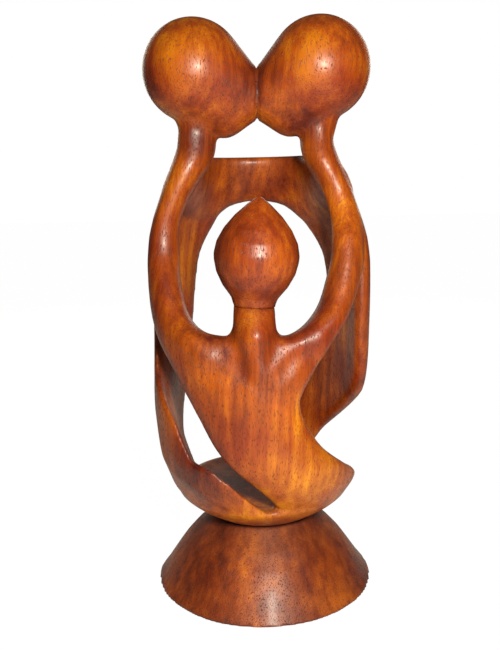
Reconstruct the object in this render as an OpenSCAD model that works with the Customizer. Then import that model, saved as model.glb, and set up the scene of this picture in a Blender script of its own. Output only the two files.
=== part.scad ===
// Carved family figure: two parents whose heads touch, bent into a hollow egg
// of limbs round their child, on a turned-looking cone foot.
// The figure is carved from one round log. A limb is a band that lies on the
// log's surface, so each limb is given by its two edges as
// (turn round the log in degrees, height), with 0 degrees at the front (-Y),
// 90 degrees at the right (+X) and 180 degrees at the back (+Y).

/* [Whole object] */
// Height from the felt pad to the top of the parents' heads
total_h = 299; // [249:1:345]
// Width of the log that the figure is carved from
log_d = 118; // [104:0.2:142]

/* [Limbs] */
// Thickness of the back wall and the ribbons
wall_t = 11; // [9:0.5:14]
// Thickness of the arms
arm_t = 16; // [13:0.5:18]
// Thickness of the child's body
body_t = 17; // [14:0.5:20]
// Thickness of the parents' necks
neck_t = 19; // [16:0.5:22]

/* [Parents' heads] */
// Diameter of the round back of a parent's head
head_d = 51.5; // [44:0.5:54]
// Diameter of the face end of a parent's head
face_d = 29; // [26:1:34]
// How deep the two faces are pressed together, measured on one of them
kiss_depth = 6.4; // [5:0.2:9]

/* [Child's head] */
// Greatest diameter of the child's head
child_head_d = 41; // [34:0.5:46]
// Height of the child's head from the neck seam to its tip
child_head_h = 52; // [44:0.5:58]
// Diameter of the child's neck
child_neck_d = 19.6; // [16:0.1:23]
// Lean of the child's head to the right, in degrees
child_lean = 4; // [0:0.5:7]

/* [Foot] */
// Diameter of the foot at the floor
foot_d = 119; // [110:1:146]
// Height of the foot
foot_h = 40; // [34:0.5:48]
// Diameter of the flat seat on top of the foot
seat_d = 56; // [52:1:62]

/* [Joints] */
// Diameter of the dowel in the child's neck
dowel_d = 8; // [5:0.5:10]
// Length of the dowel
dowel_l = 22; // [14:1:26]
// Diameter of the wood screw that holds the figure on the foot
screw_d = 5; // [4:0.5:6]
// Length of the screw under its head
screw_l = 35; // [28:1:42]
// Diameter of the two locating pins in the seat
pin_d = 6; // [4:0.5:8]
// Length of a locating pin
pin_l = 16; // [10:1:18]
// Distance between the two locating pins
pin_gap = 36; // [24:1:42]
// Gap between a dowel, pin or screw and its hole, on the diameter
fit = 0.1; // [0.05:0.05:0.3]

/* [Felt pad] */
// Diameter of the felt pad under the foot
felt_d = 104; // [80:1:104]
// Thickness of the felt pad
felt_t = 1.5; // [1:0.1:3]

/* [Hidden] */

// Heights in the tables below are those of this object's own height
drawn_h = 299;
drawn_seat = 40;
ring_points = 14;    // points round a limb's section
steps = 3;           // rings from one station of a limb to the next
body_fn = 48;
bore_fn = 48;

foot_edge = 0.6 * felt_t - 0.4;    // the felt stands this far below the foot
screw_bite = 11;
screw_head_d = 2 * screw_d;
screw_head_h = 0.6 * screw_d;
washer_t = 1.2;
washer_d = 2.8 * screw_d;
counterbore_d = washer_d + 1.5;
counterbore_top = foot_h + screw_bite - screw_l + washer_t;
floor_z = foot_h + screw_bite + 4;
kiss_x = 0.8;       // the heads meet this far right of the log's axis
child_neck_x = -3;
child_neck_y = -39 * log_d / 118;
child_seam_z = lift(158.8);

wood_body = [0.74, 0.36, 0.10];
wood_head = [0.62, 0.26, 0.09];
wood_foot = [0.48, 0.17, 0.08];

// Carries a height in the tables to the height at this total_h and foot_h
function lift(z) = foot_h + (z - drawn_seat) * (total_h - foot_h) / (drawn_h - drawn_seat);

// The log's radius at each height in the tables, as a share of half of log_d
LOG = [[34, 0.40], [40, 0.475], [43, 0.56], [47, 0.67], [52, 0.765], [58, 0.838], [66, 0.91],
       [78, 0.975], [100, 0.985], [140, 0.985], [160, 0.99], [178, 0.99], [190, 0.968], [200, 0.925],
       [217, 0.82], [235, 0.695], [245, 0.675], [270, 0.675]];
function log_r(z) = log_d / 2 * lookup(z, LOG);

// Catmull-Rom curve through four values, t from 0 to 1 between b and c
function between(a, b, c, d, t) =
    b + 0.5 * t * (c - a + t * (2 * a - 5 * b + 4 * c - d + t * (3 * (b - c) + d - a)));
function at(stations, u) =
    let (last = len(stations) - 1, i = min(floor(u), last - 1))
    between(stations[max(i - 1, 0)], stations[i], stations[i + 1], stations[min(i + 2, last)], u - i);

function power(v, p) = sign(v) * pow(abs(v), p);

// How round a limb's section is: 1 is an ellipse, and less is fuller, with crisper edges.
// A thick limb is a rod and a thin one a band.
function roundness(t) = min(0.9, 0.32 + 0.032 * t);

// One point of a limb: s runs across it from one edge to the other (-1 to 1),
// d through it from the inside to the outside (-1 to 1). The thinning takes wood
// off the inside towards the second edge.
function limb_point(st, inset, thinning, s, d) =
    let (turn = (st[0] * (1 - s) + st[2] * (1 + s)) / 2,
         z = (st[1] * (1 - s) + st[3] * (1 + s)) / 2,
         t = st[4] * (1 - thinning * pow(max(s, 0), 2)),
         r = log_r(z) - inset - t / 2 * (1 - d))
    [r * sin(turn), -r * cos(turn), lift(z)];

// A limb that lies on the log. Each station is [turn, height] of one edge,
// [turn, height] of the other edge and the thickness. The inset sinks it below the log's surface.
module limb(stations, inset, thinning = 0) {
    rings = (len(stations) - 1) * steps + 1;
    points = [for (i = [0 : rings - 1], j = [0 : ring_points - 1])
        let (st = at(stations, i / steps), a = 360 * j / ring_points, p = roundness(st[4]))
        limb_point(st, inset, thinning, power(cos(a), p), power(sin(a), p))];
    ends = [for (i = [0, len(stations) - 1]) limb_point(stations[i], inset, thinning, 0, 0)];
    last = (rings - 1) * ring_points;
    sides = [for (i = [0 : rings - 2], j = [0 : ring_points - 1])
        let (a = i * ring_points + j, b = i * ring_points + (j + 1) % ring_points)
        each [[b, a, b + ring_points], [b + ring_points, a, a + ring_points]]];
    caps = [for (j = [0 : ring_points - 1])
        let (k = (j + 1) % ring_points)
        each [[j, k, last + ring_points], [last + k, last + j, last + ring_points + 1]]];
    polyhedron(concat(points, ends), concat(sides, caps), convexity = 6);
}

// The left parent's arm, which turns into the child's body and its hem
LEFT_ARM_AND_BODY = [
    [-108, 254, -72, 254, neck_t + 1], [-109, 240, -71, 240, neck_t + 1], [-112, 227, -68, 227, neck_t + 2],
    [-102, 211, -72, 211, arm_t], [-97, 196, -75, 196, arm_t - 1], [-96, 181, -73, 182, arm_t + 1],
    [-92, 162, -64, 170, arm_t + 1], [-82, 147, -53, 156, arm_t + 1], [-71, 137, -41, 148.5, body_t],
    [-62, 130, -29, 145.5, body_t], [-54, 122, -9, 143.5, body_t], [-47, 114, 8, 135, body_t],
    [-38, 103, 20, 121, body_t], [-29, 90, 22, 108, body_t], [-20, 81, 27, 98, body_t - 1],
    [-6, 70, 34, 89, body_t - 2], [3, 62, 43, 82, body_t - 3], [10, 55, 54, 75.5, body_t - 4],
    [24, 49.5, 64, 71, body_t - 5], [44, 48.5, 72, 67, body_t - 6.5], [62, 51.5, 79.5, 63.5, body_t - 8]];

// The right parent's arm, down to the child's chest
RIGHT_ARM = [
    [72, 254, 108, 254, neck_t - 2], [71, 240, 109, 240, neck_t - 2], [66, 227, 113, 227, neck_t - 0.5],
    [70, 212, 97, 212, arm_t], [65, 200, 88, 200, arm_t], [57.5, 191, 82, 190, arm_t],
    [53, 181, 74.5, 176, arm_t], [47, 169, 65, 165, arm_t + 1], [40, 159, 57, 155, arm_t + 1],
    [30, 151, 48, 146, body_t], [17, 145, 40, 138, body_t], [3, 143, 32, 129, body_t],
    [-10, 133, 25, 120, body_t - 1], [-14, 120, 18, 109, body_t - 4]];

// The wall behind the left arm, which turns into the ribbon at the lower left
LEFT_RIBBON = [
    [-160, 212, -90, 212, wall_t], [-151, 196, -90, 194, wall_t], [-140, 179, -90, 176, wall_t],
    [-135, 160, -90, 156, wall_t], [-131, 138, -87, 136, wall_t], [-127, 116, -80, 121, wall_t],
    [-118, 92, -66, 110, wall_t], [-114, 76, -54, 101, wall_t + 1], [-113, 62, -46, 90, wall_t + 2],
    [-105, 50, -39, 82, wall_t + 2], [-80, 46, -27, 79, wall_t + 2], [-55, 44, -15, 69, wall_t + 2],
    [-35, 43, -5, 60, wall_t + 2], [-15, 42, 4, 54, wall_t + 1], [5, 42, 16, 50, wall_t]];

// The wall behind the right arm, which turns into the ribbon round the back
RIGHT_RIBBON = [
    [88, 212, 160, 212, wall_t], [84, 195, 149, 196, wall_t], [77, 176, 135, 177, wall_t],
    [76, 156, 131, 152, wall_t], [79, 137, 134, 128, wall_t], [84, 120, 142, 108, wall_t],
    [93, 105.5, 153, 92, wall_t], [104, 96.5, 165, 80, wall_t], [120, 84, 178, 72, wall_t + 1],
    [132, 74, 192, 66, wall_t + 1], [138, 66, 204, 59, wall_t + 1], [143, 58, 216, 53, wall_t + 1],
    [152, 51, 228, 50, wall_t], [170, 47, 240, 48, wall_t]];

// The ring of wall that joins the parents' shoulders behind the child
BACK_RING = [
    [-84, 229, -84, 206, neck_t - 4], [-110, 231.5, -110, 200, wall_t + 7], [-135, 232, -142, 194, wall_t + 2],
    [-160, 232, -160, 204, wall_t], [-180, 232, -180, 207, wall_t], [-200, 232, -200, 204, wall_t],
    [-225, 232, -218, 194, wall_t + 2], [-250, 231.5, -250, 200, wall_t + 7], [-276, 229, -276, 206, neck_t - 4]];

// The child's head: [share of its height, share of its radius]
CHILD_HEAD = [[0, 0.49], [0.07, 0.55], [0.18, 0.77], [0.30, 0.925], [0.41, 0.99], [0.47, 1],
              [0.58, 0.945], [0.70, 0.79], [0.82, 0.55], [0.92, 0.28], [0.98, 0.09], [1, 0]];

// The foot's side: [share of its height, share of the step from the seat's radius to the floor's]
FOOT = [[0, 0.985], [0.015, 1], [0.05, 0.97], [0.13, 0.89], [0.25, 0.79], [0.39, 0.67], [0.55, 0.52], [0.73, 0.32],
        [0.88, 0.13], [0.96, 0.035], [1, 0]];

module parent_head(side) {
    top = total_h - head_d / 2;
    hull() {
        translate([side * 32 + kiss_x, 0, top]) sphere(d = head_d, $fn = 36);
        translate([side * (face_d / 2 - kiss_depth) + kiss_x, 0, top - 12.5]) sphere(d = face_d, $fn = 24);
        translate([side * 17 + kiss_x, 0, top - 22]) sphere(d = 0.8 * face_d, $fn = 24);
    }
    hull() {
        translate([side * 30 + kiss_x, 0, top - 15]) sphere(d = 0.54 * head_d, $fn = 24);
        translate([side * 30.6 + kiss_x, 0, lift(243)]) sphere(d = neck_t - 0.5, $fn = 24);
    }
}

// Neck and breastbone: a leaning rod that sinks into the chest
module child_neck() {
    chest_y = -48 * log_d / 118;
    hull() {
        child_seat() translate([0, 0, -6]) cylinder(d = child_neck_d, h = 6, $fn = 32);
        translate([child_neck_x, chest_y, lift(143)]) sphere(d = child_neck_d + 2, $fn = 32);
    }
    hull() {
        child_seat() translate([0, 0, -10]) cylinder(d = child_neck_d - 3, h = 2, $fn = 32);
        translate([child_neck_x, chest_y, lift(138)]) scale([1.6, 0.75, 1]) sphere(d = child_neck_d, $fn = 32);
    }
    hull() {
        translate([child_neck_x, chest_y, lift(143)]) sphere(d = child_neck_d + 2, $fn = 32);
        translate([child_neck_x + 1, chest_y - 1, lift(122)]) sphere(d = body_t, $fn = 24);
    }
}

// The bottom of the egg, where all the limbs meet on the foot
module egg_floor() {
    rise = [for (z = [drawn_seat, 43, 46, 49, 52, 54.5]) [log_r(z), lift(z)]];
    rim = rise[len(rise) - 1];
    rotate_extrude($fn = 64)
        polygon(concat([[0, foot_h]], rise,
            [[rim[0] - wall_t / 2, rim[1] + 1.5], [rim[0] - wall_t, rim[1]], [12, floor_z], [0, floor_z]]));
}

// Places its children on the seam between the child's neck and head
module child_seat() {
    translate([child_neck_x, child_neck_y, child_seam_z]) rotate([0, child_lean, 0]) children();
}

// Places its children at the two locating pins
module pin_places() {
    for (x = [-0.5, 0.5]) translate([x * pin_gap, 0, foot_h]) children();
}

module figure_carving() {
    color(wood_body) difference() {
        // Resizing by nothing keeps the whole carving one smooth shell
        resize([0, 0, 0]) union() {
            for (side = [-1, 1]) parent_head(side);
            limb(LEFT_ARM_AND_BODY, 0);
            limb(RIGHT_ARM, 0.9);
            limb(LEFT_RIBBON, 0.3, 0.6);
            limb(RIGHT_RIBBON, -1.1);
            limb(BACK_RING, -0.2);
            child_neck();
            egg_floor();
        }
        child_seat() translate([0, 0, -dowel_l / 2 - 0.5])
            cylinder(d = dowel_d + fit, h = dowel_l / 2 + 2, $fn = bore_fn);
        translate([0, 0, foot_h - 1]) cylinder(d = screw_d + fit, h = screw_bite + 2, $fn = bore_fn);
        pin_places() translate([0, 0, -1]) cylinder(d = pin_d + fit, h = pin_l / 2 + 1.5, $fn = bore_fn);
    }
}

module child_head() {
    color(wood_head) child_seat() difference() {
        rotate_extrude($fn = body_fn)
            polygon(concat([[0, 0]], [for (p = CHILD_HEAD) [p[1] * child_head_d / 2, p[0] * child_head_h]]));
        translate([0, 0, -1]) cylinder(d = dowel_d + fit, h = dowel_l / 2 + 1.5, $fn = bore_fn);
    }
}

module child_head_dowel() {
    color("burlywood") child_seat() translate([0, 0, -dowel_l / 2])
        cylinder(d = dowel_d, h = dowel_l, $fn = bore_fn);
}

module foot() {
    side = [for (p = FOOT) [seat_d / 2 + p[1] * (foot_d - seat_d) / 2, foot_edge + p[0] * (foot_h - foot_edge)]];
    color(wood_foot) difference() {
        rotate_extrude($fn = 96) polygon(concat([[0, foot_edge]], side, [[0, foot_h]]));
        cylinder(d = felt_d + 2 * fit, h = felt_t, $fn = 96);
        translate([0, 0, felt_t - 1])
            cylinder(d = counterbore_d, h = counterbore_top - felt_t + 1, $fn = bore_fn);
        cylinder(d = screw_d + 5 * fit, h = foot_h + 1, $fn = bore_fn);
        pin_places() translate([0, 0, -pin_l / 2 - 0.5])
            cylinder(d = pin_d + fit, h = pin_l / 2 + 2, $fn = bore_fn);
    }
}

module foot_screw() {
    color("silver") translate([0, 0, counterbore_top - washer_t]) {
        cylinder(d = screw_d, h = screw_l, $fn = bore_fn);
        translate([0, 0, -screw_head_h]) difference() {
            cylinder(d = screw_head_d, h = screw_head_h, $fn = bore_fn);
            for (a = [0, 90]) rotate([0, 0, a])
                translate([-0.3 * screw_head_d, -0.5, -1]) cube([0.6 * screw_head_d, 1, 1 + 0.6 * screw_head_h]);
        }
    }
}

module screw_washer() {
    color("gainsboro") translate([0, 0, counterbore_top - washer_t]) difference() {
        cylinder(d = washer_d, h = washer_t, $fn = bore_fn);
        translate([0, 0, -1]) cylinder(d = screw_d + 5 * fit, h = washer_t + 2, $fn = bore_fn);
    }
}

module locating_pins() {
    color("burlywood") pin_places() translate([0, 0, -pin_l / 2])
        cylinder(d = pin_d, h = pin_l, $fn = bore_fn);
}

module felt_pad() {
    color([0.12, 0.20, 0.14]) cylinder(d = felt_d, h = felt_t, $fn = 96);
}

figure_carving();
child_head();
child_head_dowel();
foot();
foot_screw();
screw_washer();
locating_pins();
felt_pad();
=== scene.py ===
"""Carved family figure: two parents and a child in one piece of varnished hardwood, on a cone-shaped foot.

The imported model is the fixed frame. Each sub-assembly is a class that makes its pieces around the
model's nodes and dresses them: the figure, the child's head, the foot and the pieces hidden between them.
All lengths are in metres unless a name ends in _mm.
"""

import logging
import math
from collections.abc import Callable
from dataclasses import dataclass
from enum import Enum

import bpy
from mathutils import Matrix, Vector


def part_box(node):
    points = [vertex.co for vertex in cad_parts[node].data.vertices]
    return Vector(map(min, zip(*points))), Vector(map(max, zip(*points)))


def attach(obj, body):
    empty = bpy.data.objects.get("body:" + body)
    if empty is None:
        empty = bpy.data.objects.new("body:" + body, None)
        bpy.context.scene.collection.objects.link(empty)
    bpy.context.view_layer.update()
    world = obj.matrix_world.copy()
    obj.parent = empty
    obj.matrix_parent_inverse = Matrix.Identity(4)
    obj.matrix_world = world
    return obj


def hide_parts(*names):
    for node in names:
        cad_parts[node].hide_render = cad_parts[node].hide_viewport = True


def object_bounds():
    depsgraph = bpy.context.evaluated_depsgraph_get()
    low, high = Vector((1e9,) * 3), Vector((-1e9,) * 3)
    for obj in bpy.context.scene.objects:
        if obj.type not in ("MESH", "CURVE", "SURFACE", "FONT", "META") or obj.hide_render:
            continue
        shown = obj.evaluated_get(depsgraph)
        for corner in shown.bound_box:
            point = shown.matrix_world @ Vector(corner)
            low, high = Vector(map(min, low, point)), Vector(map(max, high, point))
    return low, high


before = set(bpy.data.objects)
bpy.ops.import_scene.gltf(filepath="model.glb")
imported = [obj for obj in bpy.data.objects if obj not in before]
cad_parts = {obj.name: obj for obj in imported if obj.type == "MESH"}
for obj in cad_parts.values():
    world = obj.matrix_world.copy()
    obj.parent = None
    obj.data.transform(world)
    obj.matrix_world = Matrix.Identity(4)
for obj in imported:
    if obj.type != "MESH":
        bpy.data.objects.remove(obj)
CAD_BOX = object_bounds()

LOG = logging.getLogger("carved_figure")
MM = 0.001
# The share of a voxel within which vertices count as one layer of a remeshed piece.
ONE_LAYER = 0.6


class Slot(Enum):
    """Names for the material slots of the body, head, foot and felt; nothing in this script uses them."""

    BODY = "body_wood"
    HEAD = "head_wood"
    FOOT = "foot_wood"
    FELT = "felt"


def srgb(hex_colour: str) -> tuple[float, float, float, float]:
    """Turns a colour written as sRGB hex into Blender's linear colour.

    Args:
        hex_colour: six hex digits, red first.

    Returns:
        Linear red, green, blue and an alpha of 1.
    """
    parts = [int(hex_colour[i:i + 2], 16) / 255 for i in (0, 2, 4)]
    linear = [p / 12.92 if p <= 0.04045 else ((p + 0.055) / 1.055) ** 2.4 for p in parts]
    return (*linear, 1.0)


def add_node(
    tree: bpy.types.NodeTree,
    kind: str,
    settings: dict[str, object] | None = None,
    inputs: dict[str | int, object] | None = None,
    stops: tuple[tuple[float, str], ...] = (),
) -> bpy.types.Node:
    """Adds a node with its settings, and sets or links its inputs.

    Args:
        tree: the material's or world's node tree.
        kind: the node's type, without the ShaderNode in front.
        settings: attributes of the node itself, such as its operation.
        inputs: a value for each input, or the output socket that feeds it.
        stops: a colour ramp's stops, lowest first, each with its place and its sRGB hex colour.

    Returns:
        The new node.
    """
    node = tree.nodes.new("ShaderNode" + kind)
    for name, value in (settings or {}).items():
        setattr(node, name, value)
    for name, value in (inputs or {}).items():
        if isinstance(value, bpy.types.NodeSocket):
            tree.links.new(value, node.inputs[name])
        else:
            node.inputs[name].default_value = value
    while stops and len(node.color_ramp.elements) < len(stops):
        node.color_ramp.elements.new(1.0)
    for index, (place, colour) in enumerate(stops):
        node.color_ramp.elements[index].position = place
        node.color_ramp.elements[index].color = srgb(colour)
    return node


def blank_material(name: str) -> tuple[bpy.types.Material, bpy.types.NodeTree, bpy.types.Node]:
    """Makes a material with only its shader and output.

    Args:
        name: the material's name.

    Returns:
        The material, its node tree and its Principled shader.
    """
    material = bpy.data.materials.new(name)
    material.use_nodes = True
    tree = material.node_tree
    tree.nodes.clear()
    shader = add_node(tree, "BsdfPrincipled")
    add_node(tree, "OutputMaterial", inputs={"Surface": shader.outputs["BSDF"]})
    return material, tree, shader


# ---------------------------------------------------------------- finishes


@dataclass(frozen=True)
class Patch:
    """A soft-edged place where the wood is painted lighter, or darker where the amount is below zero:
    partly the wood's own tone, mostly painted light and shade.
    """

    centre_mm: tuple[float, float, float]
    reach_mm: float
    amount: float


@dataclass(frozen=True)
class VarnishedHardwood:
    """Reddish tropical hardwood, carved by hand, sanded fine, stained and given a thin satin varnish.

    The eye sees a warm colour that shifts between growth zones, streaks and short dark open pores along
    the grain, which turn to dots on end grain, a stain that took unevenly, and a soft satin gloss. The
    colour also carries painted shade in the hollows, and painted light and shade in patches.
    """

    name: str
    dark: str
    mid: str
    light: str
    stain: str
    pore: str = "2b0e04"
    # How far up the mix of zones, streaks and fibres the dark, middle and light colours stand.
    tones: tuple[float, float, float] = (0.3, 0.5, 0.68)
    pith: tuple[float, float] = (0.02, 0.05)
    lean_deg: tuple[float, float] = (3.0, -4.0)
    bend_mm: float = 12.0
    # Each mark's width, its length in widths, and its share of the wood's tone.
    zone_mm: float = 12.0
    zone_share: float = 0.43
    streak_mm: float = 4.5
    streak_stretch: float = 22.0
    streak_share: float = 0.42
    fibre_mm: float = 1.0
    fibre_stretch: float = 20.0
    fibre_share: float = 0.15
    # A real pore is about 0.3 mm wide; it is drawn a little coarser here so that it shows.
    pore_mm: float = 0.46
    pore_stretch: float = 4.5
    # The noise above this value is pore, so a higher value leaves fewer.
    pore_from: float = 0.64
    pore_edge: float = 0.06
    pore_strength: float = 0.52
    stain_mm: float = 45.0
    stain_depth: float = 0.75
    # Painted shade: the colour is darkened towards this colour where ambient occlusion finds the carving
    # hollow.
    hollow_shade: str = "6a2418"
    hollow_mm: float = 30.0
    painted_shade_depth: float = 0.95
    roughness: float = 0.4
    # How much rougher the fibres and the pores are, and how far each stands out or is sunk.
    fibre_dulls: float = 0.16
    pore_dulls: float = 0.35
    fibre_stands: float = 0.5
    pore_sinks: float = 0.8
    bump_mm: float = 0.25
    coat: float = 0.04
    coat_roughness: float = 0.16
    # Places painted lighter or darker: partly the wood's own tone, mostly painted light and shade.
    tone_and_shade_patches: tuple[Patch, ...] = ()

    def make(self) -> bpy.types.Material:
        """Makes the material with its grain running up the object."""
        material, tree, shader = blank_material(self.name)
        place = add_node(tree, "TexCoord").outputs["Object"]
        grain = self.bent_grain(tree, place)
        colour, fibre, pore = self.colour(tree, place, grain)
        tree.links.new(colour, shader.inputs["Base Color"])
        self.surface(tree, shader, fibre, pore)
        shader.inputs["IOR"].default_value = 1.45
        shader.inputs["Specular IOR Level"].default_value = 0.5
        shader.inputs["Coat Weight"].default_value = self.coat
        shader.inputs["Coat Roughness"].default_value = self.coat_roughness
        return material

    def bent_grain(self, tree: bpy.types.NodeTree, place: bpy.types.NodeSocket) -> bpy.types.NodeSocket:
        """Centres the block on the tree's pith, leans it a little and bends its fibres.

        Args:
            tree: the material's node tree.
            place: the object's own coordinates.

        Returns:
            Coordinates whose Z runs along the grain.
        """
        turned = add_node(tree, "Mapping", inputs={
            "Vector": place,
            "Location": (-self.pith[0], -self.pith[1], 0.0),
            "Rotation": tuple(math.radians(a) for a in (*self.lean_deg, 0.0)),
        })
        wander = add_node(tree, "TexNoise", inputs={
            "Vector": turned.outputs["Vector"], "Scale": 12.0, "Detail": 1.0, "Roughness": 0.5,
        })
        centred = add_node(tree, "VectorMath", {"operation": "SUBTRACT"}, {
            0: wander.outputs["Color"], 1: (0.5, 0.5, 0.5),
        })
        bent = add_node(tree, "VectorMath", {"operation": "MULTIPLY_ADD"}, {
            0: centred.outputs["Vector"],
            1: (self.bend_mm * MM, self.bend_mm * MM, self.bend_mm * MM / 3),
            2: turned.outputs["Vector"],
        })
        return bent.outputs["Vector"]

    def along(
        self,
        tree: bpy.types.NodeTree,
        grain: bpy.types.NodeSocket,
        stretch: float,
        size_mm: float,
        detail: float,
    ) -> bpy.types.NodeSocket:
        """A noise drawn out along the grain.

        Args:
            tree: the material's node tree.
            grain: coordinates whose Z runs along the grain.
            stretch: how many times longer than wide each mark is.
            size_mm: how wide each mark is, in millimetres.
            detail: how much finer noise rides on it.

        Returns:
            The noise's value.
        """
        drawn = add_node(tree, "VectorMath", {"operation": "MULTIPLY"}, {
            0: grain, 1: (1.0, 1.0, 1.0 / stretch),
        })
        noise = add_node(tree, "TexNoise", inputs={
            "Vector": drawn.outputs["Vector"], "Scale": 1.0 / (size_mm * MM),
            "Detail": detail, "Roughness": 0.55,
        })
        return noise.outputs["Fac"]

    def colour(
        self,
        tree: bpy.types.NodeTree,
        place: bpy.types.NodeSocket,
        grain: bpy.types.NodeSocket,
    ) -> tuple[bpy.types.NodeSocket, bpy.types.NodeSocket, bpy.types.NodeSocket]:
        """Lays growth zones, streaks, painted light and shade patches, uneven stain, painted shade in
        hollows and pores over each other.

        Args:
            tree: the material's node tree.
            place: the object's own coordinates.
            grain: coordinates whose Z runs along the grain.

        Returns:
            The colour, the fine fibres, and the mask of pores and hollows.
        """
        parts = add_node(tree, "SeparateXYZ", inputs={"Vector": grain})
        across = add_node(tree, "CombineXYZ", inputs={"X": parts.outputs["X"], "Y": parts.outputs["Y"]})
        radius = add_node(tree, "VectorMath", {"operation": "LENGTH"}, {0: across.outputs["Vector"]})
        slow_z = add_node(tree, "Math", {"operation": "MULTIPLY"}, {0: parts.outputs["Z"], 1: 0.07})
        rings = add_node(tree, "CombineXYZ", inputs={
            "X": radius.outputs["Value"], "Y": slow_z.outputs["Value"],
        })
        zone = add_node(tree, "TexNoise", inputs={
            "Vector": rings.outputs["Vector"], "Scale": 1.0 / (self.zone_mm * MM),
            "Detail": 2.5, "Roughness": 0.6,
        })
        streak = self.along(tree, grain, self.streak_stretch, self.streak_mm, 3.0)
        fibre = self.along(tree, grain, self.fibre_stretch, self.fibre_mm, 3.0)
        pores = self.along(tree, grain, self.pore_stretch, self.pore_mm, 0.0)
        tone = add_node(tree, "Math", {"operation": "MULTIPLY"}, {0: streak, 1: self.streak_share})
        tone = add_node(tree, "Math", {"operation": "MULTIPLY_ADD"}, {
            0: zone.outputs["Fac"], 1: self.zone_share, 2: tone.outputs[0],
        })
        tone = add_node(tree, "Math", {"operation": "MULTIPLY_ADD"}, {
            0: fibre, 1: self.fibre_share, 2: tone.outputs[0],
        })
        # Painted light and shade: each patch makes the tone lighter or darker around a point.
        for patch in self.tone_and_shade_patches:
            away = add_node(tree, "VectorMath", {"operation": "DISTANCE"}, {
                0: place, 1: tuple(c * MM for c in patch.centre_mm),
            })
            near = add_node(tree, "MapRange", {"interpolation_type": "SMOOTHSTEP"}, {
                "Value": away.outputs["Value"], "From Max": patch.reach_mm * MM,
                "To Min": patch.amount, "To Max": 0.0,
            })
            tone = add_node(tree, "Math", {"operation": "ADD"}, {
                0: tone.outputs[0], 1: near.outputs["Result"],
            })
        ramp = add_node(
            tree, "ValToRGB", inputs={"Fac": tone.outputs[0]},
            stops=tuple(zip(self.tones, (self.dark, self.mid, self.light))),
        )
        blotch = add_node(tree, "TexNoise", inputs={
            "Vector": place, "Scale": 1.0 / (self.stain_mm * MM), "Detail": 3.0, "Roughness": 0.55,
        })
        took = add_node(tree, "MapRange", inputs={
            "Value": blotch.outputs["Fac"], "From Min": 0.4, "From Max": 0.62,
            "To Max": self.stain_depth,
        })
        stain_and_shade = add_node(tree, "Mix", {"data_type": "RGBA", "blend_type": "MULTIPLY"}, {
            "Factor": took.outputs["Result"], 6: ramp.outputs["Color"], 7: srgb(self.stain),
        })
        # Painted shade: ambient occlusion darkens the colour in hollows, creases and gaps.
        hollow = add_node(tree, "AmbientOcclusion", {"samples": 6}, {"Distance": self.hollow_mm * MM})
        hollow_shade = add_node(tree, "MapRange", inputs={
            "Value": hollow.outputs["AO"], "From Min": 0.25, "From Max": 0.95,
            "To Min": self.painted_shade_depth, "To Max": 0.0,
        })
        stain_and_shade = add_node(tree, "Mix", {"data_type": "RGBA", "blend_type": "MULTIPLY"}, {
            "Factor": hollow_shade.outputs["Result"], 6: stain_and_shade.outputs[2], 7: srgb(self.hollow_shade),
        })
        mask = add_node(tree, "MapRange", inputs={
            "Value": pores, "From Min": self.pore_from, "From Max": self.pore_from + self.pore_edge,
        })
        weak = add_node(tree, "Math", {"operation": "MULTIPLY"}, {
            0: mask.outputs["Result"], 1: self.pore_strength,
        })
        colour = add_node(tree, "Mix", {"data_type": "RGBA"}, {
            "Factor": weak.outputs[0], 6: stain_and_shade.outputs[2], 7: srgb(self.pore),
        })
        # The pores and the painted-shade hollows are both made rougher and sunk in the bump.
        pore_and_hollow_mask = add_node(tree, "Math", {"operation": "MAXIMUM"}, {
            0: mask.outputs["Result"], 1: hollow_shade.outputs["Result"],
        })
        return colour.outputs[2], fibre, pore_and_hollow_mask.outputs[0]

    def surface(
        self,
        tree: bpy.types.NodeTree,
        shader: bpy.types.Node,
        fibre: bpy.types.NodeSocket,
        pore: bpy.types.NodeSocket,
    ) -> None:
        """Sets the gloss, which pores and fibres break up, and the bump that they make.

        Args:
            tree: the material's node tree.
            shader: the material's Principled shader.
            fibre: the fine fibres.
            pore: the mask of pores and hollows.
        """
        worn = add_node(tree, "Math", {"operation": "MULTIPLY_ADD"}, {
            0: fibre, 1: self.fibre_dulls, 2: self.roughness - self.fibre_dulls / 2,
        })
        dull = add_node(tree, "Math", {"operation": "MULTIPLY_ADD"}, {
            0: pore, 1: self.pore_dulls, 2: worn.outputs[0],
        })
        tree.links.new(dull.outputs[0], shader.inputs["Roughness"])
        sunk = add_node(tree, "Math", {"operation": "MULTIPLY"}, {0: pore, 1: -self.pore_sinks})
        height = add_node(tree, "Math", {"operation": "MULTIPLY_ADD"}, {
            0: fibre, 1: self.fibre_stands, 2: sunk.outputs[0],
        })
        bump = add_node(tree, "Bump", inputs={
            "Height": height.outputs[0], "Strength": 0.35, "Distance": self.bump_mm * MM,
        })
        tree.links.new(bump.outputs["Normal"], shader.inputs["Normal"])


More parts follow.
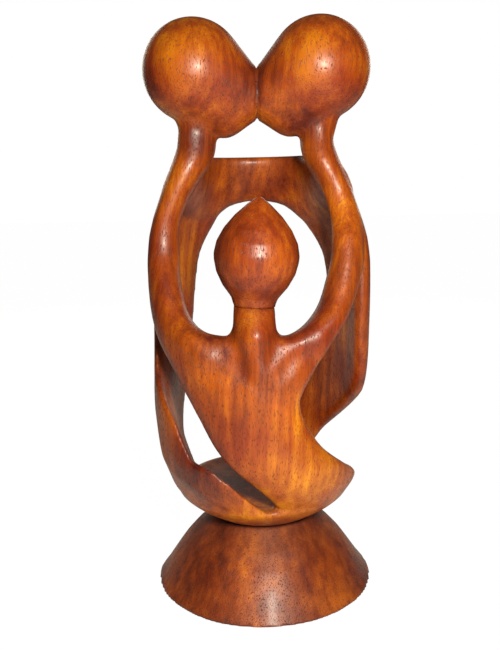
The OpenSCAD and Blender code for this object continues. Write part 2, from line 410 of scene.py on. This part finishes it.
# The three woods. Each patch paints the wood lighter or darker: most are painted shade under the heads, in
# hollows and gaps and on sides turned from the key lamp, and painted light on sides and tops turned to it;
# some are the wood's own tone.
FIGURE_WOOD = VarnishedHardwood(
    "varnished_red_hardwood", dark="5e1c08", mid="a44e08", light="d0840c", stain="b06038",
    tone_and_shade_patches=(
        Patch((6, -55, 82), 48, 0.12), Patch((30, -20, 262), 16, 0.08), Patch((38, -42, 74), 26, -0.04),
        Patch((28, -24, 274), 24, 0.17), Patch((-38, -24, 274), 20, 0.12),
        Patch((51, -18, 269), 14, 0.12), Patch((-3, -53, 153), 12, 0.12),
        Patch((52, 18, 95), 45, -0.12), Patch((-34, -44, 69), 38, -0.16),
        Patch((22, -11, 247), 17, -0.2), Patch((-54, -14, 268), 20, -0.2),
        Patch((-10, -18, 264), 15, -0.1), Patch((0, 45, 212), 55, -0.06),
        Patch((-50, 5, 125), 42, -0.14), Patch((-30, -14, 252), 17, -0.1),
        Patch((-31, -11, 236), 17, -0.24), Patch((-27, -50, 141), 18, -0.14),
        Patch((-10, 0, 55), 36, -0.25), Patch((-6, -57, 119), 24, -0.07),
        Patch((-50, -12, 187), 26, -0.1),
    ),
)
HEAD_WOOD = VarnishedHardwood(
    "varnished_dark_hardwood", dark="541804", mid="923e08", light="c46c0c", stain="a85430",
    pith=(0.012, -0.02), roughness=0.4, coat=0.03,
    # Painted shade on both sides of the child's head, and painted light on its front.
    tone_and_shade_patches=(
        Patch((6, -55, 184), 14, 0.1), Patch((-22, -44, 183), 20, -0.18),
        Patch((18, -48, 184), 11, -0.08),
    ),
)
FOOT_WOOD = VarnishedHardwood(
    "varnished_brown_hardwood", dark="4c1606", mid="8c3c0a", light="bc6414", stain="8a4830",
    pith=(0.05, -0.02), roughness=0.44, coat=0.04,
    # Painted shade on the foot's left side, and painted light on its right side, front and top.
    tone_and_shade_patches=(
        Patch((-48, -20, 20), 42, -0.08), Patch((40, -38, 18), 40, 0.18), Patch((4, -45, 28), 26, 0.1),
        Patch((0, -31, 37), 18, 0.1),
    ),
)


@dataclass(frozen=True)
class BeechDowelRod:
    """Beech, turned to a rod and left raw: pale, dull, with short darker flecks along the grain."""

    name: str = "raw_beech_rod"

    def make(self) -> bpy.types.Material:
        """Makes the material."""
        material, tree, shader = blank_material(self.name)
        place = add_node(tree, "TexCoord").outputs["Object"]
        drawn = add_node(tree, "VectorMath", {"operation": "MULTIPLY"}, {0: place, 1: (1.0, 1.0, 0.15)})
        fleck = add_node(tree, "TexNoise", inputs={
            "Vector": drawn.outputs["Vector"], "Scale": 1.0 / (0.6 * MM), "Detail": 3.0,
        })
        ramp = add_node(
            tree, "ValToRGB", inputs={"Fac": fleck.outputs["Fac"]},
            stops=((0.35, "a9794f"), (0.5, "c89d72"), (0.65, "dcb78d")),
        )
        tree.links.new(ramp.outputs["Color"], shader.inputs["Base Color"])
        rough = add_node(tree, "MapRange", inputs={
            "Value": fleck.outputs["Fac"], "To Min": 0.5, "To Max": 0.75,
        })
        tree.links.new(rough.outputs["Result"], shader.inputs["Roughness"])
        bump = add_node(tree, "Bump", inputs={
            "Height": fleck.outputs["Fac"], "Strength": 0.4, "Distance": 0.1 * MM,
        })
        tree.links.new(bump.outputs["Normal"], shader.inputs["Normal"])
        return material


@dataclass(frozen=True)
class ZincPlatedSteel:
    """Steel, cold formed and zinc plated: bright grey metal with a faint mottle and fine rubbing marks."""

    name: str = "zinc_plated_steel"

    def make(self) -> bpy.types.Material:
        """Makes the material."""
        material, tree, shader = blank_material(self.name)
        place = add_node(tree, "TexCoord").outputs["Object"]
        mottle = add_node(tree, "TexNoise", inputs={
            "Vector": place, "Scale": 1.0 / (1.8 * MM), "Detail": 4.0,
        })
        ramp = add_node(
            tree, "ValToRGB", inputs={"Fac": mottle.outputs["Fac"]},
            stops=((0.35, "9fa3a6"), (0.55, "bfc3c6"), (0.7, "d0d2cf")),
        )
        tree.links.new(ramp.outputs["Color"], shader.inputs["Base Color"])
        shader.inputs["Metallic"].default_value = 1.0
        rough = add_node(tree, "MapRange", inputs={
            "Value": mottle.outputs["Fac"], "To Min": 0.22, "To Max": 0.5,
        })
        tree.links.new(rough.outputs["Result"], shader.inputs["Roughness"])
        rubbed = add_node(tree, "TexNoise", inputs={
            "Vector": place, "Scale": 1.0 / (0.3 * MM), "Detail": 2.0,
        })
        bump = add_node(tree, "Bump", inputs={
            "Height": rubbed.outputs["Fac"], "Strength": 0.2, "Distance": 0.03 * MM,
        })
        tree.links.new(bump.outputs["Normal"], shader.inputs["Normal"])
        return material


@dataclass(frozen=True)
class PressedWoolFelt:
    """Wool felt, pressed from loose fibres and cut to a disc: dull, mottled and slightly hairy."""

    name: str = "pressed_wool_felt"

    def make(self) -> bpy.types.Material:
        """Makes the material."""
        material, tree, shader = blank_material(self.name)
        place = add_node(tree, "TexCoord").outputs["Object"]
        tangle = add_node(tree, "TexNoise", inputs={
            "Vector": place, "Scale": 1.0 / (1.2 * MM),
            "Detail": 5.0, "Roughness": 0.7, "Distortion": 1.6,
        })
        ramp = add_node(
            tree, "ValToRGB", inputs={"Fac": tangle.outputs["Fac"]},
            stops=((0.3, "1f3026"), (0.5, "304538"), (0.7, "455d4b")),
        )
        tree.links.new(ramp.outputs["Color"], shader.inputs["Base Color"])
        rough = add_node(tree, "MapRange", inputs={
            "Value": tangle.outputs["Fac"], "To Min": 0.85, "To Max": 1.0,
        })
        tree.links.new(rough.outputs["Result"], shader.inputs["Roughness"])
        shader.inputs["Sheen Weight"].default_value = 0.3
        bump = add_node(tree, "Bump", inputs={
            "Height": tangle.outputs["Fac"], "Strength": 0.8, "Distance": 0.3 * MM,
        })
        tree.links.new(bump.outputs["Normal"], shader.inputs["Normal"])
        return material


@dataclass(frozen=True)
class PaintedFloor:
    """A studio floor painted white: plain, matt and even."""

    name: str = "matt_white_floor"
    glow_share: float = 0.97
    glow_strength: float = 1.02

    def make(self) -> bpy.types.Material:
        """Makes the material."""
        material, tree, shader = blank_material(self.name)
        shader.inputs["Base Color"].default_value = srgb("fafaf8")
        shader.inputs["Roughness"].default_value = 0.9
        shader.inputs["Specular IOR Level"].default_value = 0.1
        # The floor shows as brightly lit, and lights the object no more than the surroundings do.
        path = add_node(tree, "LightPath")
        share = add_node(tree, "Math", {"operation": "MULTIPLY"}, {
            0: path.outputs["Is Camera Ray"], 1: self.glow_share,
        })
        glow = add_node(tree, "Emission", inputs={
            "Color": srgb("ffffff"), "Strength": self.glow_strength,
        })
        mixed = add_node(tree, "MixShader", inputs={
            "Fac": share.outputs[0], 1: shader.outputs["BSDF"], 2: glow.outputs["Emission"],
        })
        output = tree.nodes["Material Output"]
        tree.links.new(mixed.outputs["Shader"], output.inputs["Surface"])
        return material


# ---------------------------------------------------------------- shaping


def only(piece: bpy.types.Object) -> None:
    """Selects one piece and makes it active, with nothing else selected.

    Args:
        piece: the piece to select.
    """
    bpy.ops.object.select_all(action="DESELECT")
    piece.select_set(True)
    bpy.context.view_layer.objects.active = piece


def copy_of_node(node: str, name: str) -> bpy.types.Object:
    """Copies a CAD node as the block that a visible piece is shaped from.

    Args:
        node: the CAD node's name.
        name: the new piece's name.

    Returns:
        The copy, with its loose triangles merged.
    """
    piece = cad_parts[node].copy()
    piece.data = piece.data.copy()
    for key in list(piece.keys()):
        del piece[key]
    piece.name = name
    piece.data.name = name
    piece.parent = None
    bpy.context.scene.collection.objects.link(piece)
    only(piece)
    bpy.ops.object.mode_set(mode="EDIT")
    bpy.ops.mesh.select_all(action="SELECT")
    bpy.ops.mesh.remove_doubles(threshold=0.002 * MM)
    bpy.ops.object.mode_set(mode="OBJECT")
    return piece


def apply_modifier(piece: bpy.types.Object, kind: str, **settings: object) -> None:
    """Adds a modifier with its settings and applies it.

    Args:
        piece: the piece to change.
        kind: the modifier's type.
        **settings: the modifier's attributes.
    """
    only(piece)
    bpy.ops.object.modifier_add(type=kind)
    modifier = piece.modifiers[-1]
    for name, value in settings.items():
        setattr(modifier, name, value)
    bpy.ops.object.modifier_apply(modifier=modifier.name)


def select_vertices(piece: bpy.types.Object, chosen: Callable[[Vector], bool]) -> None:
    """Opens a piece in edit mode with only the chosen vertices selected.

    Args:
        piece: the piece to open.
        chosen: says of a vertex's place whether it is wanted.
    """
    only(piece)
    bpy.ops.object.mode_set(mode="EDIT")
    bpy.ops.mesh.select_mode(type="VERT")
    bpy.ops.mesh.select_all(action="DESELECT")
    bpy.ops.object.mode_set(mode="OBJECT")
    wanted = [chosen(vertex.co) for vertex in piece.data.vertices]
    piece.data.vertices.foreach_set("select", wanted)
    bpy.ops.object.mode_set(mode="EDIT")


def hand_carved(piece: bpy.types.Object, seed_name: str, depth: float, size: float) -> None:
    """Takes uneven, shallow amounts off a surface, as rasp and sandpaper do. It never adds any.

    Args:
        piece: the piece to change.
        seed_name: a name for the texture that spreads the unevenness.
        depth: the most that is taken off.
        size: how wide each hollow is.
    """
    clouds = bpy.data.textures.new(seed_name, "CLOUDS")
    clouds.noise_scale = size
    clouds.noise_depth = 1
    apply_modifier(
        piece, "DISPLACE", texture=clouds, texture_coords="LOCAL", strength=depth, mid_level=1.0,
    )


def softness(gap: float, crisp: float) -> float:
    """Says how much sandpaper rounds a place near a crisp edge.

    Args:
        gap: the distance from the edge.
        crisp: the width beside the edge that sandpaper rounds less.

    Returns:
        0 where nothing is rounded, up to 1.
    """
    return min(1.0, max(0.0, gap / crisp - 0.4))


def dress(piece: bpy.types.Object, material: bpy.types.Material) -> None:
    """Gives a piece one material all over."""
    piece.data.materials.clear()
    piece.data.materials.append(material)


def report(piece: bpy.types.Object, words: str) -> None:
    """Says what a finished piece is and how many triangles it has."""
    count = sum(len(p.vertices) - 2 for p in piece.data.polygons)
    LOG.info("%s: %s, %d triangles", piece.name, words, count)


# ---------------------------------------------------------------- sub-assemblies


@dataclass(frozen=True)
class Stroke:
    """One stroke of a gouge or rasp: the surface near a few points moves, and less so further away."""

    name: str
    points_mm: tuple[tuple[float, float, float], ...]
    push_mm: tuple[float, float, float]
    reach_mm: float
    touch_mm: float = 3.0

    def cut(self, piece: bpy.types.Object) -> None:
        """Moves the surface around the stroke's points.

        Args:
            piece: the piece to cut, which is active and selected.
        """
        places = [Vector(point) * MM for point in self.points_mm]
        touch = self.touch_mm * MM
        select_vertices(piece, lambda co: min((co - place).length for place in places) < touch)
        bpy.ops.transform.translate(
            value=Vector(self.push_mm) * MM, use_proportional_edit=True,
            proportional_edit_falloff="SMOOTH", proportional_size=self.reach_mm * MM,
        )
        bpy.ops.object.mode_set(mode="OBJECT")


@dataclass
class Figure:
    """The parents and the child's body, carved in one piece."""

    wood: VarnishedHardwood
    voxel: float = 1.25 * MM
    rounding: int = 11
    # The crease between the faces: where it stands, how far below the model's top its ends are, and the
    # share of its depth and height that is left once it is drawn in.
    kiss_x: float = 0.8 * MM
    kiss_low: float = 56 * MM
    kiss_high: float = 20 * MM
    kiss_draw: tuple[float, float] = (0.84, 0.9)
    # Sandpaper rounds less this close to the crease and to the seam on the child's neck.
    crisp: float = 4.0 * MM
    heads_low: float = 62 * MM
    neck_front: float = -25 * MM
    neck_half: float = 18 * MM
    strokes: tuple[Stroke, ...] = (
        Stroke("hollow left of the neck", ((-17, -54, 142), (-15, -55, 136)), (0, 3.8, 0), 17),
        Stroke("hollow right of the neck", ((12, -54, 142), (16, -53, 137)), (0, 3.4, 0), 16),
        Stroke(
            "ridge down the left arm",
            ((-36, -44, 145), (-28, -50, 137), (-18, -55, 125)), (-0.3, -0.9, 0), 8,
        ),
        Stroke(
            "ridge down the right arm",
            ((38, -43, 151), (29, -48, 138), (20, -52, 128)), (0.3, -0.8, 0), 8,
        ),
    )

    def build(self) -> None:
        """Shapes the carving from the CAD node's block and dresses it."""
        piece = copy_of_node("figure_carving", "carved_figure")
        apply_modifier(piece, "REMESH", mode="VOXEL", voxel_size=self.voxel)
        self.deepen_kiss(piece)
        for stroke in self.strokes:
            stroke.cut(piece)
        self.mark_soft_places(piece)
        apply_modifier(piece, "SMOOTH", factor=0.5, iterations=self.rounding, vertex_group="soft")
        bpy.ops.object.shade_smooth()
        dress(piece, self.wood.make())
        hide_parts("figure_carving")
        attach(piece, "root")
        report(piece, "carving with both parents and the child's body")

    def deepen_kiss(self, piece: bpy.types.Object) -> None:
        """Draws the crease between the two faces in, all the way round, so that it reads as a sharp cut.

        Args:
            piece: the carving.
        """
        top = CAD_BOX[1][2]
        low, high = top - self.kiss_low, top - self.kiss_high
        layer = ONE_LAYER * self.voxel
        select_vertices(piece, lambda co: abs(co.x - self.kiss_x) < layer and low < co.z < high)
        bpy.ops.transform.resize(
            value=(0, *self.kiss_draw), center_override=(self.kiss_x, 0, (low + high) / 2),
        )
        bpy.ops.mesh.remove_doubles(threshold=0.1 * MM)
        bpy.ops.object.mode_set(mode="OBJECT")

    def mark_soft_places(self, piece: bpy.types.Object) -> None:
        """Marks where sandpaper rounds the carving, which is not at the crease or the neck's seam.

        Args:
            piece: the carving.
        """
        group = piece.vertex_groups.new(name="soft")
        seam_low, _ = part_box("child_head")
        heads = CAD_BOX[1][2] - self.heads_low
        for vertex in piece.data.vertices:
            place = vertex.co
            gap = abs(place.x - self.kiss_x) if place.z > heads else 1.0
            on_neck = place.y < self.neck_front and abs(place.x) < self.neck_half
            if on_neck and abs(place.z - seam_low.z) < self.crisp:
                gap = 0.0
            group.add([vertex.index], softness(gap, self.crisp), "REPLACE")


@dataclass
class ChildHead:
    """The child's onion-shaped head, glued on its dowel."""

    wood: VarnishedHardwood
    voxel: float = 0.7 * MM
    rounding: int = 6
    lean_deg: float = 4.0
    crisp: float = 3.0 * MM
    press: float = 0.5 * MM

    def build(self) -> None:
        """Shapes the head from the CAD node's block and dresses it."""
        piece = copy_of_node("child_head", "carved_child_head")
        apply_modifier(piece, "REMESH", mode="VOXEL", voxel_size=self.voxel)
        self.close_seam(piece)
        apply_modifier(piece, "SMOOTH", factor=0.5, iterations=self.rounding, vertex_group="soft")
        bpy.ops.object.shade_smooth()
        dress(piece, self.wood.make())
        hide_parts("child_head")
        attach(piece, "root")
        report(piece, "child's head")

    def close_seam(self, piece: bpy.types.Object) -> None:
        """Presses the head's flat underside onto the neck, and marks the rest for sandpaper to round.

        Args:
            piece: the head.
        """
        low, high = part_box("child_head_dowel")
        seat = (low + high) / 2
        lean = math.radians(self.lean_deg)
        axis = Vector((math.sin(lean), 0.0, math.cos(lean)))
        select_vertices(piece, lambda co: (co - seat).dot(axis) < ONE_LAYER * self.voxel)
        bpy.ops.transform.translate(value=-self.press * axis)
        bpy.ops.object.mode_set(mode="OBJECT")
        group = piece.vertex_groups.new(name="soft")
        for vertex in piece.data.vertices:
            height = (vertex.co - seat).dot(axis)
            group.add([vertex.index], softness(height, self.crisp), "REPLACE")


@dataclass
class Foot:
    """The cone-shaped foot with its counterbore, and the felt under it."""

    wood: VarnishedHardwood
    felt: PressedWoolFelt
    voxel: float = 1.4 * MM
    rounding: int = 3
    rasp_depth: float = 0.7 * MM
    rasp_width: float = 22 * MM
    felt_edge: float = 0.35 * MM

    def build(self) -> None:
        """Makes the foot and its felt."""
        self.build_cone()
        self.build_felt()

    def build_cone(self) -> None:
        """Shapes the cone from the CAD node's block and dresses it."""
        piece = copy_of_node("foot", "turned_foot")
        apply_modifier(piece, "REMESH", mode="VOXEL", voxel_size=self.voxel)
        apply_modifier(piece, "SMOOTH", factor=0.5, iterations=self.rounding)
        hand_carved(piece, "foot_rasp", self.rasp_depth, self.rasp_width)
        bpy.ops.object.shade_smooth()
        dress(piece, self.wood.make())
        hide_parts("foot")
        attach(piece, "root")
        report(piece, "cone-shaped foot")

    def build_felt(self) -> None:
        """Cuts the felt disc and rounds its edges."""
        low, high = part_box("felt_pad")
        middle = (low + high) / 2
        bpy.ops.object.select_all(action="DESELECT")
        bpy.ops.mesh.primitive_cylinder_add(
            vertices=96, radius=(high.x - low.x) / 2, depth=high.z - low.z, location=middle,
        )
        piece = bpy.context.object
        piece.name = "felt_disc"
        bpy.ops.object.transform_apply(location=True, rotation=True, scale=True)
        bpy.ops.object.mode_set(mode="EDIT")
        bpy.ops.mesh.select_all(action="SELECT")
        bpy.ops.mesh.bevel(offset=self.felt_edge, segments=3, affect="EDGES")
        bpy.ops.object.mode_set(mode="OBJECT")
        bpy.ops.object.shade_smooth_by_angle(angle=math.radians(40))
        dress(piece, self.felt.make())
        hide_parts("felt_pad")
        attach(piece, "root")
        report(piece, "felt disc")


@dataclass
class HiddenJoinery:
    """The dowel, pins, screw and washer inside the joints, which keep their CAD shape."""

    beech: BeechDowelRod
    steel: ZincPlatedSteel
    rods: tuple[str, ...] = ("child_head_dowel", "locating_pins")
    fixings: tuple[str, ...] = ("foot_screw", "screw_washer")

    def build(self) -> None:
        """Dresses the CAD nodes in beech and plated steel."""
        self.finish_nodes(self.rods, self.beech.make())
        self.finish_nodes(self.fixings, self.steel.make())

    def finish_nodes(self, nodes: tuple[str, ...], material: bpy.types.Material) -> None:
        """Dresses CAD nodes.

        Args:
            nodes: the nodes' names.
            material: the material that they share.
        """
        for node in nodes:
            dress(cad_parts[node], material)
            report(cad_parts[node], material.name)


# ---------------------------------------------------------------- studio


@dataclass
class Studio:
    """White floor and surroundings, a small lamp above the camera and two large soft ones behind."""

    lens_mm: float = 41.54
    eye: tuple[float, float, float] = (-0.0052, -0.396, 0.212)
    look_down_deg: float = 10.0
    roll_deg: float = -1.26
    floor_size: float = 12.0
    middle: tuple[float, float, float] = (0.0, 0.0, 0.15)
    fill: float = 0.06
    key_from_eye: tuple[float, float, float] = (0.065, 0.0, 0.065)
    key_size: float = 0.07
    key_watts: float = 2.9
    back_place: tuple[float, float, float] = (0.4, 0.9, 0.5)
    back_size: float = 0.5
    back_watts: float = 2.4
    lamp_colour: tuple[float, float, float] = (1.0, 0.91, 0.76)

    def build(self) -> None:
        """Makes the floor, the surroundings, the lamps and the camera."""
        self.build_floor()
        self.build_surroundings()
        self.build_lamps()
        self.build_camera()
        bpy.context.scene.view_settings.view_transform = "Standard"

    def build_floor(self) -> None:
        """Lays the floor under the lowest point of the model."""
        bpy.ops.object.select_all(action="DESELECT")
        bpy.ops.mesh.primitive_plane_add(size=self.floor_size, location=(0, 0, CAD_BOX[0][2]))
        floor = bpy.context.object
        floor.name = "floor"
        dress(floor, PaintedFloor().make())

    def build_surroundings(self) -> None:
        """Makes bright white surroundings that light the object only softly."""
        world = bpy.data.worlds.new("white_surroundings")
        bpy.context.scene.world = world
        world.use_nodes = True
        tree = world.node_tree
        tree.nodes.clear()
        path = add_node(tree, "LightPath")
        strength = add_node(tree, "MapRange", inputs={
            "Value": path.outputs["Is Camera Ray"], "To Min": self.fill, "To Max": 1.0,
        })
        light = add_node(tree, "Background", inputs={
            "Color": (1.0, 1.0, 1.0, 1.0), "Strength": strength.outputs["Result"],
        })
        add_node(tree, "OutputWorld", inputs={"Surface": light.outputs["Background"]})

    def build_lamps(self) -> None:
        """Puts a small lamp above the camera and two large soft ones behind the object."""
        self.lamp("key", Vector(self.eye) + Vector(self.key_from_eye), self.key_size, self.key_watts)
        across, behind, up = self.back_place
        for side in (-1, 1):
            self.lamp("back", Vector((side * across, behind, up)), self.back_size, self.back_watts)

    def lamp(self, name: str, place: Vector, size: float, power: float) -> None:
        """Adds a round lamp that faces the middle of the object.

        Args:
            name: the lamp's name.
            place: where it stands.
            size: its width.
            power: its power in watts.
        """
        data = bpy.data.lights.new(name, "AREA")
        data.shape = "DISK"
        data.size = size
        data.energy = power
        data.color = self.lamp_colour
        lamp = bpy.data.objects.new(name, data)
        bpy.context.scene.collection.objects.link(lamp)
        lamp.location = place
        lamp.rotation_euler = (place - Vector(self.middle)).to_track_quat("Z", "Y").to_euler()

    def build_camera(self) -> None:
        """Sets up the camera, which looks slightly down and is turned a little about its axis."""
        data = bpy.data.cameras.new("camera")
        data.lens = self.lens_mm
        data.clip_start = 0.01
        camera = bpy.data.objects.new("camera", data)
        bpy.context.scene.collection.objects.link(camera)
        turn = Matrix.Rotation(math.radians(90 - self.look_down_deg), 4, "X")
        roll = Matrix.Rotation(math.radians(self.roll_deg), 4, "Z")
        camera.matrix_world = Matrix.Translation(self.eye) @ turn @ roll
        bpy.context.scene.camera = camera


def main() -> None:
    """Builds every sub-assembly and the studio in order."""
    logging.basicConfig(level=logging.INFO, format="%(message)s")
    Figure(FIGURE_WOOD).build()
    ChildHead(HEAD_WOOD).build()
    Foot(FOOT_WOOD, PressedWoolFelt()).build()
    HiddenJoinery(BeechDowelRod(), ZincPlatedSteel()).build()
    Studio().build()


if __name__ == "__main__":
    main()
